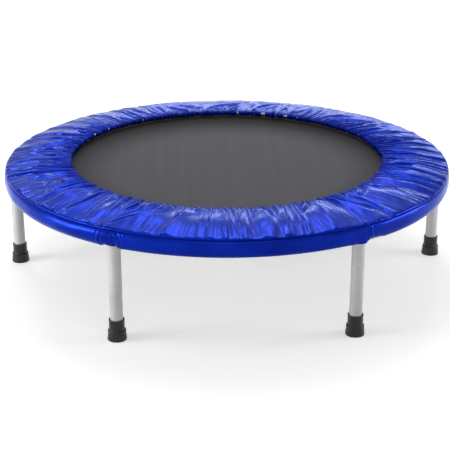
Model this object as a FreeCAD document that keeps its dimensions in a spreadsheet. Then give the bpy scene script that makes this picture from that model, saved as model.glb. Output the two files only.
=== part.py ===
import FreeCAD, Part
import Sketcher
import math
import os
import re

# A round 38 inch mini trampoline with six screw-in legs.
# The origin is on the floor at the centre, +Z is up, and legs 1 and 4 stand on the X axis.

os.makedirs("parts", exist_ok=True)
document = FreeCAD.newDocument("mini_trampoline")

# Driving dimensions, in millimetres; counts are plain numbers
DIMENSIONS = {
    "leg_count": 6,
    "spring_count": 36,
    "tube_outer": 25.4,
    "seat_gap": 0.3,
    # Ring
    "ring_radius": 466.0,
    "ring_wall": 1.5,
    "hook_inset": 5.0,
    "hook_hole": 5.0,
    # Welded boss for each leg
    "boss_drop": 4.0,
    "boss_diameter": 24.0,
    "boss_wrap": 5.0,
    "spigot_diameter": 15.0,
    "spigot_rise": 10.0,
    "weld_gap": 0.1,
    # Leg
    "leg_length": 194.1,
    "leg_wall": 1.0,
    "plug_height": 12.0,
    "plug_gap": 0.05,
    "stud_diameter": 10.0,
    "stud_reach": 18.0,
    "thread_gap": 0.1,
    # Rubber foot
    "cap_floor": 4.0,
    "cap_height": 43.0,
    "cap_sleeve": 31.5,
    "cap_bead": 36.0,
    "cap_bead_height": 20.0,
    "cap_base": 38.5,
    "cap_lip": 1.2,
    "cap_gap": 0.1,
    "tread_depth": 1.0,
    "tread_width": 2.5,
    "tread_count": 2,
    "washer_thickness": 1.2,
    "washer_bore": 10.5,
    # Springs
    "spring_rise": 13.5,
    "coil_outer": 14.0,
    "coil_length": 52.0,
    "wire_thickness": 2.4,
    "tail_reach": 13.0,
    "tail_depth": 11.5,
    "tail_level": 5.3,
    "eye_reach": 3.0,
    # Mat and its rings
    "link_thickness": 3.0,
    "link_depth": 20.0,
    "link_width": 26.0,
    "mat_gap": 1.2,
    "mat_thickness": 1.2,
    "band_thickness": 1.0,
    "band_width": 22.0,
    "loop_thickness": 1.0,
    "loop_width": 19.0,
    "loop_length": 20.0,
    # Padded cover
    "panel_width": 140.9,
    "cover_thickness": 1.0,
    "elastic_thickness": 5.0,
    "rim_stand": 3.8,
    "rim_rise": 5.6,
    "seam_drop": 1.5,
    "hem_drop": 7.5,
    "tuck_width": 9.7,
    "tuck_height": 18.0,
    "leg_hole_gap": 0.5,
    "hem_elastic_height": 3.0,
    "hem_elastic_thickness": 1.2,
    # Foam ring under the cover
    "pad_thickness": 7.5,
    "pad_on_rim": 7.1,
    "pad_on_ring": 9.8,
    "pad_slope": 7.5,
    "pad_round": 1.1,
    "pad_edge_width": 5.0,
    "pad_edge_drop": 2.5,
}

# Straight steps in each folded or rounded edge
FOLD_STEPS = 8

sizes = document.addObject("Spreadsheet::Sheet", "sizes")
for row, (alias, number) in enumerate(DIMENSIONS.items(), start=1):
    sizes.set(f"A{row}", alias)
    sizes.set(f"B{row}", str(number))
    sizes.setAlias(f"B{row}", alias)
document.recompute()

# Places that several pieces share, as formulas of the driving dimensions
tube_radius = "tube_outer / 2"
washer_top = "(cap_floor + washer_thickness)"
seat_height = f"({washer_top} + leg_length)"
ring_bottom = f"({seat_height} + boss_drop)"
ring_height = f"({ring_bottom} + {tube_radius})"
ring_top = f"({ring_height} + {tube_radius})"
spring_height = f"({ring_height} + spring_rise)"
hook_radius = "(ring_radius - hook_inset)"
tail_radius = f"({hook_radius} - (hook_hole - wire_thickness) / 2 + seat_gap)"
coil_far = f"({tail_radius} - tail_reach)"
coil_near = f"({coil_far} - coil_length)"
coil_mean = "(coil_outer - wire_thickness) / 2"
eye_radius = f"({coil_near} - eye_reach)"
wire_room = "(link_thickness / 2 + wire_thickness / 2 + seat_gap)"
link_reach = f"{wire_room} * hypot(link_depth; link_width / 2) / (link_width / 2)"
link_tip = f"({eye_radius} - {coil_mean} + {link_reach})"
link_bar = f"({link_tip} - link_depth)"
mat_radius = f"({link_bar} - link_thickness / 2 - mat_gap)"
mat_stack = "mat_thickness / 2 + band_thickness"
loop_inside = f"(max(link_thickness / 2; {mat_stack}) + seat_gap)"
curl_radius = "(elastic_thickness / 2 + seat_gap)"
curl_outer = f"({curl_radius} + cover_thickness)"
pad_bottom = f"({spring_height} + coil_outer / 2 + seat_gap)"
pad_top = f"({pad_bottom} + pad_thickness)"
cover_inside = f"({pad_top} + seat_gap)"
cover_top_height = f"({cover_inside} + cover_thickness)"
elastic_height = f"({cover_top_height} - {curl_outer})"
rim_radius = f"(ring_radius + {tube_radius} + rim_stand)"
rim_inside = f"({rim_radius} - cover_thickness)"
rim_height = f"({ring_top} + rim_rise + seat_gap)"
elastic_radius = f"({rim_radius} - panel_width + {curl_outer})"
pad_inner = f"({elastic_radius} + {curl_outer} + seat_gap)"
seam_height = f"({rim_height} - seam_drop)"
hem_height = f"({ring_bottom} - hem_drop)"
hem_radius = f"({rim_radius} - tuck_width)"
tuck_top = f"({hem_height} + tuck_height)"
hem_elastic_inside = f"({tube_radius} + leg_hole_gap)"
hem_elastic_outside = f"({hem_elastic_inside} + hem_elastic_thickness)"
leg_fold_inside = f"({hem_elastic_outside} + seat_gap)"


def formula(text):
    """Puts the sheet's name before each alias; every alias has an underscore."""
    return re.sub(r"[a-z]+(?:_[a-z]+)+", lambda word: "sizes." + word.group(0), text)


def value(text):
    """The number, in millimetres or degrees, that a formula gives."""
    return float(sizes.evalExpression(formula(text)))


def new_body(label, leg=None):
    """An empty body, on the object's own axis or on the axis of one leg."""
    body = document.addObject("PartDesign::Body", label)
    body.Label = label
    body.AllowCompound = True
    if leg is not None:
        turn = f"{leg} * 360 deg / leg_count"
        body.setExpression("Placement.Base.x", formula(f"ring_radius * cos({turn})"))
        body.setExpression("Placement.Base.y", formula(f"ring_radius * sin({turn})"))
    return body


def new_sketch(body, name, role, lift=None):
    """A sketch on one of the body's origin planes, raised by a formula where it is given."""
    sketch = body.newObject("Sketcher::SketchObject", name)
    plane = next(part for part in body.Origin.OriginFeatures if part.Role == role)
    sketch.AttachmentSupport = (plane, [""])
    sketch.MapMode = "FlatFace"
    if lift:
        sketch.setExpression("AttachmentOffset.Base.z", formula(lift))
    return sketch


def pin_point(sketch, edge, end, across, up):
    """Ties one point of a sketch to its two formulas; 0 puts it on the sketch's axis."""
    for kind, axis, text in (("DistanceX", -2, across), ("DistanceY", -1, up)):
        if text == "0":
            sketch.addConstraint(Sketcher.Constraint("PointOnObject", edge, end, axis))
            continue
        number = sketch.addConstraint(Sketcher.Constraint(kind, -1, 1, edge, end, value(text)))
        sketch.setExpression(f"Constraints[{number}]", formula(text))


def draw_outline(sketch, corners):
    """Draws a closed outline through corners, each a pair of formulas."""
    spots = [FreeCAD.Vector(value(across), value(up), 0) for across, up in corners]
    first = sketch.GeometryCount
    last = len(spots) - 1
    for number, spot in enumerate(spots):
        following = spots[0 if number == last else number + 1]
        sketch.addGeometry(Part.LineSegment(spot, following), False)
    for number, (across, up) in enumerate(corners):
        following = 0 if number == last else number + 1
        sketch.addConstraint(Sketcher.Constraint("Coincident", first + number, 2, first + following, 1))
        pin_point(sketch, first + number, 1, across, up)


def draw_circle(sketch, across, up, radius):
    """Draws a circle whose centre and radius are formulas."""
    number = sketch.GeometryCount
    centre = FreeCAD.Vector(value(across), value(up), 0)
    sketch.addGeometry(Part.Circle(centre, FreeCAD.Vector(0, 0, 1), value(radius)), False)
    size = sketch.addConstraint(Sketcher.Constraint("Radius", number, value(radius)))
    sketch.setExpression(f"Constraints[{size}]", formula(radius))
    pin_point(sketch, number, 3, across, up)


def turn_profile(body, name, corners=None, circles=(), kind="PartDesign::Revolution"):
    """Turns an outline or circles in the XZ plane a full turn about the body's Z axis."""
    sketch = new_sketch(body, name + "_profile", "XZ_Plane")
    if corners:
        draw_outline(sketch, corners)
    for circle in circles:
        draw_circle(sketch, *circle)
    turned = body.newObject(kind, name)
    turned.Profile = sketch
    turned.ReferenceAxis = (sketch, ["V_Axis"])
    turned.Angle = 360
    body.Tip = turned


def raise_circle(body, name, across, radius, bottom, height):
    """Adds a disc or a round boss whose axis is vertical."""
    sketch = new_sketch(body, name + "_circle", "XY_Plane", bottom)
    draw_circle(sketch, across, "0", radius)
    pad = body.newObject("PartDesign::Pad", name)
    pad.Profile = sketch
    pad.setExpression("Length", formula(height))
    body.Tip = pad
    return pad


def cut_circle(body, name, across, radius, bottom, height, up="0"):
    """Cuts a round vertical hole upwards from its bottom height."""
    sketch = new_sketch(body, name + "_circle", "XY_Plane", bottom)
    draw_circle(sketch, across, up, radius)
    pocket = body.newObject("PartDesign::Pocket", name)
    pocket.Profile = sketch
    pocket.Reversed = True
    pocket.setExpression("Length", formula(height))
    body.Tip = pocket
    return pocket


def repeat_around(body, name, features, count):
    """Repeats features evenly about the body's Z axis."""
    pattern = body.newObject("PartDesign::PolarPattern", name)
    pattern.Originals = features
    axis = next(part for part in body.Origin.OriginFeatures if part.Role == "Z_Axis")
    pattern.Axis = (axis, [""])
    pattern.Angle = 360
    pattern.setExpression("Occurrences", formula(count))
    body.Tip = pattern


def turned_ring(label, inner, outer, bottom, top):
    """A flat ring or disc about the object's axis."""
    body = new_body(label)
    corners = [(inner, bottom), (outer, bottom), (outer, top), (inner, top)]
    turn_profile(body, label + "_ring", corners)


def half_turn_of_springs(body):
    """Turns a body by half a spring step, so that no spring stands over a leg."""
    body.setExpression("Placement.Rotation.Angle", formula("180 deg / spring_count"))
    body.Placement.Rotation.Axis = FreeCAD.Vector(0, 0, 1)


def make_ring():
    """The ring that carries everything: a rolled tube with hook holes on top and boss holes below."""
    body = new_body("frame_ring")
    outside = ("ring_radius", ring_height, tube_radius)
    inside = ("ring_radius", ring_height, f"{tube_radius} - ring_wall")
    turn_profile(body, "rolled_tube", circles=[outside, inside])
    half_step = "180 deg / spring_count"
    across = f"{hook_radius} * cos({half_step})"
    up = f"-{hook_radius} * sin({half_step})"
    hook_cut = cut_circle(body, "hook_cut", across, "hook_hole / 2", ring_height, tube_radius, up)
    repeat_around(body, "hook_cuts", [hook_cut], "spring_count")
    boss_hole = "spigot_diameter / 2 + weld_gap"
    boss_depth = f"boss_drop + {tube_radius}"
    boss_cut = cut_circle(body, "boss_cut", "ring_radius", boss_hole, seat_height, boss_depth)
    repeat_around(body, "boss_cuts", [boss_cut], "leg_count")


def make_bosses():
    """Steel bosses welded into the ring's underside, one threaded seat for each leg."""
    body = new_body("leg_bosses")
    height = "boss_drop + boss_wrap"
    shoulder = raise_circle(body, "shoulder", "ring_radius", "boss_diameter / 2", seat_height, height)
    repeat_around(body, "shoulders", [shoulder], "leg_count")
    saddle = ("ring_radius", ring_height, f"{tube_radius} + weld_gap")
    turn_profile(body, "saddle", circles=[saddle], kind="PartDesign::Groove")
    spigot_bottom = f"{seat_height} + boss_drop / 2"
    spigot_height = "boss_drop / 2 + spigot_rise"
    spigot = raise_circle(body, "spigot", "ring_radius", "spigot_diameter / 2", spigot_bottom, spigot_height)
    bore_height = "boss_drop + spigot_rise"
    bore = cut_circle(
        body, "bore", "ring_radius", "stud_diameter / 2 + thread_gap", seat_height, bore_height
    )
    repeat_around(body, "spigots", [spigot, bore], "leg_count")


def make_rings_on_mat():
    """Triangular wire rings, one for each spring, hooked into the webbing loops."""
    body = new_body("mat_rings")
    half_turn_of_springs(body)
    path = new_sketch(body, "link_path", "XY_Plane", spring_height)
    half_width = "link_width / 2"
    corners = [(link_bar, "0"), (link_bar, half_width), (link_tip, "0"), (link_bar, f"-{half_width}")]
    draw_outline(path, corners)
    section = new_sketch(body, "link_section", "XZ_Plane")
    draw_circle(section, link_bar, spring_height, "link_thickness / 2")
    wire = body.newObject("PartDesign::AdditivePipe", "link_wire")
    wire.Profile = section
    wire.Spine = path
    wire.Transition = "Round corner"
    repeat_around(body, "link_wires", [wire], "spring_count")


def fold(centre_across, centre_up, reach, first, last, rise=None):
    """Corners along an arc, or an ellipse where a rise is given, from one angle to another."""
    corners = []
    for number in range(FOLD_STEPS + 1):
        angle = first + (last - first) * number / FOLD_STEPS
        across = f"{centre_across} + ({reach}) * cos({angle} deg)"
        up = f"{centre_up} + ({rise or reach}) * sin({angle} deg)"
        corners.append((across, up))
    return corners


def make_loops():
    """Webbing loops sewn over the band, each folded round the bar of one wire ring."""
    body = new_body("ring_loops")
    half_turn_of_springs(body)
    outside = f"{loop_inside} + loop_thickness"
    back = f"{link_bar} - loop_length"
    outer_fold = fold(link_bar, spring_height, outside, 90, -90)
    inner_fold = fold(link_bar, spring_height, loop_inside, -90, 90)
    lower_end = [(back, f"{spring_height} - ({outside})"), (back, f"{spring_height} - {loop_inside}")]
    upper_end = [(back, f"{spring_height} + {loop_inside}"), (back, f"{spring_height} + ({outside})")]
    profile = new_sketch(body, "loop_profile", "XZ_Plane")
    draw_outline(profile, outer_fold + lower_end + inner_fold + upper_end)
    strap = body.newObject("PartDesign::Pad", "strap")
    strap.Profile = profile
    strap.Midplane = True
    strap.setExpression("Length", formula("loop_width"))
    repeat_around(body, "loops", [strap], "spring_count")


def bent_wire(points, bend, thickness):
    """A round wire along points in the XZ plane, with an arc at each inner point."""
    edges = []
    start = points[0]
    for before, corner, after in zip(points, points[1:], points[2:]):
        back = (before - corner).normalize()
        ahead = (after - corner).normalize()
        half_angle = back.getAngle(ahead) / 2
        reach = bend / math.tan(half_angle)
        entry = corner + back * reach
        leave = corner + ahead * reach
        inward = (back + ahead).normalize()
        middle = corner + inward * (bend / math.sin(half_angle) - bend)
        edges.append(Part.LineSegment(start, entry).toShape())
        edges.append(Part.Arc(entry, middle, leave).toShape())
        start = leave
    edges.append(Part.LineSegment(start, points[-1]).toShape())
    path = Part.Wire(edges)
    direction = edges[0].tangentAt(edges[0].FirstParameter)
    section = Part.Wire([Part.makeCircle(thickness / 2, points[0], direction)])
    return path.makePipeShell([section], True, True)


def make_springs():
    """Close-wound extension springs, each with an eye at the mat and a tail hooked into the ring."""
    wire = value("wire_thickness")
    height = value(spring_height)
    near = value(coil_near)
    far = value(coil_far)
    mean = value(coil_mean)
    bore = mean - wire / 2
    turns = int(value("coil_length") / wire)
    step = (far - near) / turns
    outline = [FreeCAD.Vector(near, 0, bore)]
    for turn in range(turns):
        outline.append(FreeCAD.Vector(near + turn * step, 0, mean + wire / 4))
        outline.append(FreeCAD.Vector(near + (turn + 0.5) * step, 0, mean + wire / 2))
    outline.append(FreeCAD.Vector(far, 0, mean + wire / 4))
    outline.append(FreeCAD.Vector(far, 0, bore))
    outline.append(outline[0])
    axis = FreeCAD.Vector(1, 0, 0)
    coil = Part.Face(Part.makePolygon(outline)).revolve(FreeCAD.Vector(), axis, 360)
    coil.rotate(FreeCAD.Vector(), axis, 90)  # the closing line goes to the side, away from the tail
    eye_centre = FreeCAD.Vector(value(eye_radius), 0, 0)
    eye = Part.makeTorus(mean, wire / 2, eye_centre, FreeCAD.Vector(0, 1, 0))
    width = 2 * mean + wire
    keep = Part.makeBox(width, width, width)
    keep.translate(FreeCAD.Vector(near + step - width, -width / 2, -width / 2))
    eye = eye.common(keep)
    hook = value(tail_radius)
    bend = wire
    shoulder = hook - value("tail_level")
    points = [
        FreeCAD.Vector(far - step, 0, mean),
        FreeCAD.Vector(far + bend, 0, mean),
        FreeCAD.Vector(shoulder, 0, wire / 2),
        FreeCAD.Vector(hook, 0, wire / 2),
        FreeCAD.Vector(hook, 0, -value("tail_depth")),
    ]
    tail = bent_wire(points, bend, wire)
    spring = coil.fuse([eye, tail]).removeSplitter()
    spring.translate(FreeCAD.Vector(0, 0, height))
    count = int(value("spring_count"))
    copies = []
    for number in range(count):
        copy = spring.copy()
        copy.rotate(FreeCAD.Vector(), FreeCAD.Vector(0, 0, 1), (number + 0.5) * 360 / count)
        copies.append(copy)
    springs = document.addObject("Part::Feature", "springs")
    springs.Shape = Part.makeCompound(copies)


def make_mat():
    """The woven bed, with a webbing band sewn above and below its edge."""
    half = "mat_thickness / 2"
    low = f"{spring_height} - {half}"
    high = f"{spring_height} + {half}"
    band_inner = f"{mat_radius} - band_width"
    turned_ring("jump_mat", "0", mat_radius, low, high)
    turned_ring("mat_band_top", band_inner, mat_radius, high, f"{high} + band_thickness")
    turned_ring("mat_band_bottom", band_inner, mat_radius, f"{low} - band_thickness", low)


def pad_crown(lift):
    """The upper line of the pad from the rim inwards, raised by a formula for the cover on it."""
    return [
        (f"{rim_radius} - pad_thickness", f"{ring_top} + pad_on_rim + {lift}"),
        (f"ring_radius - {tube_radius} / 2", f"{ring_top} + pad_on_ring + {lift}"),
        (f"{coil_far} - wire_thickness", f"{pad_top} - pad_round + {lift}"),
        (f"{coil_far} - wire_thickness - pad_slope", f"{pad_top} + {lift}"),
    ]


def make_pad():
    """The foam ring under the cover: flat over the springs, thinner where it drops on the ring."""
    body = new_body("pad_foam")
    over_tail = f"{spring_height} + wire_thickness + 2 * seat_gap"
    on_ring = f"{ring_top} + seat_gap"
    edge = f"{rim_inside} - seat_gap"
    edge_bottom = f"{ring_top} - pad_edge_drop"
    underside = [
        (pad_inner, pad_bottom),
        (f"{coil_far} + 2 * wire_thickness", pad_bottom),
        (f"{tail_radius} - wire_thickness", over_tail),
        (f"{tail_radius} + wire_thickness", over_tail),
        (f"{tail_radius} + 2 * wire_thickness", on_ring),
        ("ring_radius + pad_edge_drop", on_ring),
        (f"{edge} - pad_edge_width", edge_bottom),
        (edge, edge_bottom),
    ]
    outer_edge = [(edge, f"{rim_height} - seat_gap")]
    inner_edge = [(pad_inner, pad_top)]
    turn_profile(body, "foam", underside + outer_edge + pad_crown("0") + inner_edge)


def make_cover_top():
    """The cover's top panel, from the seam at the rim to the casing round the inner elastic."""
    body = new_body("cover_top")
    seam = [(rim_inside, seam_height), (rim_radius, seam_height)]
    rim = [(rim_radius, f"{rim_height} + cover_thickness")]
    upper = pad_crown("seat_gap + cover_thickness")
    casing = fold(elastic_radius, elastic_height, curl_outer, 90, 270)
    lip_end = f"{elastic_radius} + {curl_outer} / 2"
    lip = [(lip_end, f"{elastic_height} - {curl_outer}"), (lip_end, f"{elastic_height} - {curl_radius}")]
    casing_inside = fold(elastic_radius, elastic_height, curl_radius, 270, 90)
    lower = pad_crown("seat_gap")[::-1]
    rim_corner = [(rim_inside, rim_height)]
    turn_profile(body, "panel", seam + rim + upper + casing + lip + casing_inside + lower + rim_corner)


def make_inner_elastic():
    """The round elastic that draws the top panel in round the mat."""
    body = new_body("inner_elastic")
    cord = (elastic_radius, elastic_height, "elastic_thickness / 2")
    turn_profile(body, "inner_cord", circles=[cord])


def make_cover_skirt():
    """The cover's side wall, tucked in under the ring and folded out round each leg."""
    body = new_body("cover_skirt")
    core = "(ring_radius - tube_outer)"
    outside_tuck = fold(hem_radius, tuck_top, "tuck_width", -90, 0, "tuck_height")
    outside = [(core, hem_height)] + outside_tuck + [(rim_radius, seam_height), (core, seam_height)]
    turn_profile(body, "skirt_outside", outside)
    fold_outside = f"{leg_fold_inside} + cover_thickness"
    leg_fold = raise_circle(body, "leg_fold", "ring_radius", fold_outside, hem_height, "tuck_height")
    repeat_around(body, "leg_folds", [leg_fold], "leg_count")
    below = f"{hem_height} - cover_thickness"
    above = f"{seam_height} + cover_thickness"
    hollow_core = f"({core} - tube_outer)"
    inside_reach = "tuck_width - cover_thickness"
    inside_rise = "tuck_height - cover_thickness"
    inside_tuck = fold(hem_radius, tuck_top, inside_reach, -90, 0, inside_rise)
    low_end = [(hollow_core, below), (hem_radius, below)]
    high_end = [(rim_inside, above), (hollow_core, above)]
    turn_profile(body, "skirt_inside", low_end + inside_tuck + high_end, kind="PartDesign::Groove")
    hole_height = "tuck_height + cover_thickness"
    leg_hole = cut_circle(body, "leg_hole", "ring_radius", leg_fold_inside, below, hole_height)
    repeat_around(body, "leg_holes", [leg_hole], "leg_count")


def make_skirt_elastic():
    """Flat elastic in the hem, which passes outside every leg."""
    body = new_body("skirt_elastic")
    bottom = f"{hem_height} + cover_thickness + seat_gap"
    height = "hem_elastic_height"
    inside = f"{hem_radius} - seat_gap"
    raise_circle(body, "hem_disc", "0", f"{inside} + hem_elastic_thickness", bottom, height)
    bend = raise_circle(body, "leg_bend", "ring_radius", hem_elastic_outside, bottom, height)
    repeat_around(body, "leg_bends", [bend], "leg_count")
    cut_circle(body, "hem_hollow", "0", inside, bottom, height)
    bend_hollow = cut_circle(body, "leg_bend_hollow", "ring_radius", hem_elastic_inside, bottom, height)
    repeat_around(body, "leg_bend_hollows", [bend_hollow], "leg_count")


def make_foot_cap(leg):
    """A rubber cap: a sleeve on the tube, a bead half-way down and a flared base with tread grooves."""
    body = new_body(f"foot_cap_{leg + 1}", leg)
    tread = []
    for groove in range(1, int(value("tread_count")) + 1):
        centre = f"cap_base / 2 * {groove} / (tread_count + 1)"
        inner = f"{centre} - tread_width / 2"
        outer = f"{centre} + tread_width / 2"
        tread += [(inner, "0"), (inner, "tread_depth"), (outer, "tread_depth"), (outer, "0")]
    sleeve_waist = "cap_sleeve / 2 - cap_lip / 4"
    bead_foot = "cap_bead_height - cap_lip"
    outside = [
        ("cap_base / 2 - cap_lip", "0"),
        ("cap_base / 2", "cap_lip"),
        ("cap_bead / 2 - cap_lip / 4", f"{bead_foot} - cap_lip"),
        ("cap_bead / 2", bead_foot),
        ("cap_bead / 2", "cap_bead_height"),
        ("cap_bead / 2 - cap_lip", "cap_bead_height + cap_lip"),
        (sleeve_waist, "cap_bead_height + 2 * cap_lip"),
        (sleeve_waist, "cap_height - 3 * cap_lip"),
        ("cap_sleeve / 2", "cap_height - cap_lip"),
        (sleeve_waist, "cap_height"),
    ]
    bore = f"{tube_radius} + cap_gap"
    inside = [
        (f"{bore} + cap_lip / 2", "cap_height"),
        (bore, "cap_height - cap_lip"),
        (bore, "cap_floor"),
        ("0", "cap_floor"),
    ]
    turn_profile(body, f"cap_{leg + 1}", [("0", "0")] + tread + outside + inside)


def make_leg(leg):
    """One screw-in leg: tube, washer under it, and a pressed-in plug with its stud."""
    number = leg + 1
    washer = new_body(f"foot_washer_{number}", leg)
    washer_outer = f"{tube_radius} - seat_gap"
    corners = [
        ("washer_bore / 2", "cap_floor"),
        (washer_outer, "cap_floor"),
        (washer_outer, washer_top),
        ("washer_bore / 2", washer_top),
    ]
    turn_profile(washer, f"washer_{number}", corners)
    tube = new_body(f"leg_tube_{number}", leg)
    wall_inner = f"{tube_radius} - leg_wall"
    corners = [
        (wall_inner, washer_top),
        (tube_radius, washer_top),
        (tube_radius, seat_height),
        (wall_inner, seat_height),
    ]
    turn_profile(tube, f"tube_{number}", corners)
    plug = new_body(f"leg_plug_{number}", leg)
    plug_bottom = f"{seat_height} - plug_height"
    plug_outer = f"{wall_inner} - plug_gap"
    stud_hole = "stud_diameter / 2 + plug_gap"
    corners = [
        (stud_hole, plug_bottom),
        (plug_outer, plug_bottom),
        (plug_outer, seat_height),
        (stud_hole, seat_height),
    ]
    turn_profile(plug, f"plug_{number}", corners)
    stud = new_body(f"leg_stud_{number}", leg)
    tip = f"{seat_height} + stud_reach"
    chamfer = "stud_diameter / 8"
    corners = [
        ("0", plug_bottom),
        ("stud_diameter / 2", plug_bottom),
        ("stud_diameter / 2", f"{tip} - {chamfer}"),
        (f"stud_diameter / 2 - {chamfer}", tip),
        ("0", tip),
    ]
    turn_profile(stud, f"stud_{number}", corners)


make_ring()
make_bosses()
make_springs()
make_rings_on_mat()
make_loops()
make_mat()
make_pad()
make_cover_top()
make_inner_elastic()
make_cover_skirt()
make_skirt_elastic()
for leg in range(int(DIMENSIONS["leg_count"])):
    make_foot_cap(leg)
    make_leg(leg)
document.recompute()

for item in document.Objects:
    if "Invalid" in item.State or "Error" in item.State:
        raise RuntimeError(f"{item.Name} failed: {item.getStatusString()}")

for item in document.Objects:
    if item.TypeId not in ("PartDesign::Body", "Part::Feature"):
        continue
    shape = item.Shape
    if shape.isNull() or not shape.isValid() or not shape.Solids:
        raise RuntimeError(f"{item.Label} is not a valid solid")
    shape.exportStep(f"parts/{item.Label}.step")
    print(item.Label, len(shape.Solids), round(shape.Volume))
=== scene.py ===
import bmesh
import bpy
import math
import numpy as np
from mathutils import Matrix, Vector


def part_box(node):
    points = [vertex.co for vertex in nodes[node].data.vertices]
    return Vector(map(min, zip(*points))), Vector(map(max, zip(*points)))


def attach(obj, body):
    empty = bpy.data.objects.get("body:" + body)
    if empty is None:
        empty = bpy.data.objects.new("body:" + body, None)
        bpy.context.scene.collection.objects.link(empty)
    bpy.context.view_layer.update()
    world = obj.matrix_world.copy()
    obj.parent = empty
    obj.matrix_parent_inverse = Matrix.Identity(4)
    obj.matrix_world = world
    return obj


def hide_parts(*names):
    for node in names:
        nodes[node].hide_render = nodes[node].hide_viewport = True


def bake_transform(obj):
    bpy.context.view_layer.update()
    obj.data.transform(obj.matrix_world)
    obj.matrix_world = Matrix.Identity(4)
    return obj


# Round mini trampoline: gathered blue cover, sprung mesh mat and six screw-in legs

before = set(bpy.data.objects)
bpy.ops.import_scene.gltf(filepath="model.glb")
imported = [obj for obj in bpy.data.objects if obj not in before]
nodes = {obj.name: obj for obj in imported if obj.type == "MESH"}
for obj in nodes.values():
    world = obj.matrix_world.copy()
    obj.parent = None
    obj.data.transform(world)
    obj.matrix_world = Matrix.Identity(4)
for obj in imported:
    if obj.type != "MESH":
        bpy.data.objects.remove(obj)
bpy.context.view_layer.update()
legCount = 6
springCount = 36
fullTurn = 2 * math.pi

# Places read from the frame, in metres
ringLow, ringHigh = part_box("frame_ring")
tubeRadius = (ringHigh.z - ringLow.z) / 2
ringRadius = ringHigh.x - tubeRadius
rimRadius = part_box("cover_top")[1].x
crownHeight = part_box("cover_top")[1].z
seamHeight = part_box("cover_skirt")[1].z
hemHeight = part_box("cover_skirt")[0].z
elasticLow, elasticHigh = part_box("inner_elastic")
elasticHeight = (elasticHigh.z + elasticLow.z) / 2
elasticRadius = elasticHigh.x - (elasticHigh.z - elasticLow.z) / 2
matLow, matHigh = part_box("jump_mat")
matRadius = matHigh.x
springHeight = (matHigh.z + matLow.z) / 2
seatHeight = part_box("leg_tube_1")[1].z
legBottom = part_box("leg_tube_1")[0].z


# A shader node with its sockets and settings filled in by name
def addNode(tree, kind, **values):
    node = tree.nodes.new(kind)
    for name, value in values.items():
        socket = name.replace("_", " ")
        if socket in node.inputs:
            node.inputs[socket].default_value = value
        else:
            setattr(node, name, value)
    return node


def newMaterial(name, colour, roughness, metallic=0.0, **sockets):
    material = bpy.data.materials.new(name)
    material.use_nodes = True
    tree = material.node_tree
    shader = tree.nodes["Principled BSDF"]
    shader.inputs["Base Color"].default_value = (*colour, 1)
    shader.inputs["Roughness"].default_value = roughness
    shader.inputs["Metallic"].default_value = metallic
    for socket, value in sockets.items():
        shader.inputs[socket.replace("_", " ")].default_value = value
    place = addNode(tree, "ShaderNodeTexCoord")
    return material, tree, shader, place.outputs["Object"]


def noiseOn(tree, place, scale, detail=2.0, distortion=0.0, roughness=0.5):
    node = addNode(tree, "ShaderNodeTexNoise", Scale=scale, Detail=detail, Distortion=distortion,
                   Roughness=roughness)
    tree.links.new(place, node.inputs["Vector"])
    return node.outputs["Fac"]


def mathOn(tree, operation, first, second=0.0, third=0.0):
    node = addNode(tree, "ShaderNodeMath", operation=operation)
    for socket, value in zip(node.inputs, (first, second, third)):
        if isinstance(value, (int, float)):
            socket.default_value = value
        else:
            tree.links.new(value, socket)
    return node.outputs[0]


def rampOn(tree, source, stops):
    node = addNode(tree, "ShaderNodeValToRGB")
    ramp = node.color_ramp
    while len(ramp.elements) < len(stops):
        ramp.elements.new(0.5)
    for element, (spot, colour) in zip(ramp.elements, stops):
        element.position = spot
        element.color = (*colour, 1)
    tree.links.new(source, node.inputs["Fac"])
    return node.outputs["Color"]


def bumpOn(tree, shader, height, strength, distance, under=None):
    node = addNode(tree, "ShaderNodeBump", Strength=strength, Distance=distance)
    tree.links.new(height, node.inputs["Height"])
    if under is not None:
        tree.links.new(under, node.inputs["Normal"])
    tree.links.new(node.outputs["Normal"], shader.inputs["Normal"])
    return node.outputs["Normal"]


# Crossing strands: a wave each way, with a checker that says which strand is on top
def weaveOn(tree, place, pitch):
    across = addNode(tree, "ShaderNodeTexWave", Scale=0.5 / pitch, wave_type="BANDS", bands_direction="X")
    along = addNode(tree, "ShaderNodeTexWave", Scale=0.5 / pitch, wave_type="BANDS", bands_direction="Y")
    over = addNode(tree, "ShaderNodeTexChecker", Scale=1 / pitch, Color1=(1, 1, 1, 1), Color2=(0, 0, 0, 1))
    for node in (across, along, over):
        tree.links.new(place, node.inputs["Vector"])
    mix = addNode(tree, "ShaderNodeMix", data_type="FLOAT")
    tree.links.new(over.outputs["Color"], mix.inputs["Factor"])
    tree.links.new(across.outputs["Fac"], mix.inputs["A"])
    tree.links.new(along.outputs["Fac"], mix.inputs["B"])
    return mix.outputs["Result"]


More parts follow.
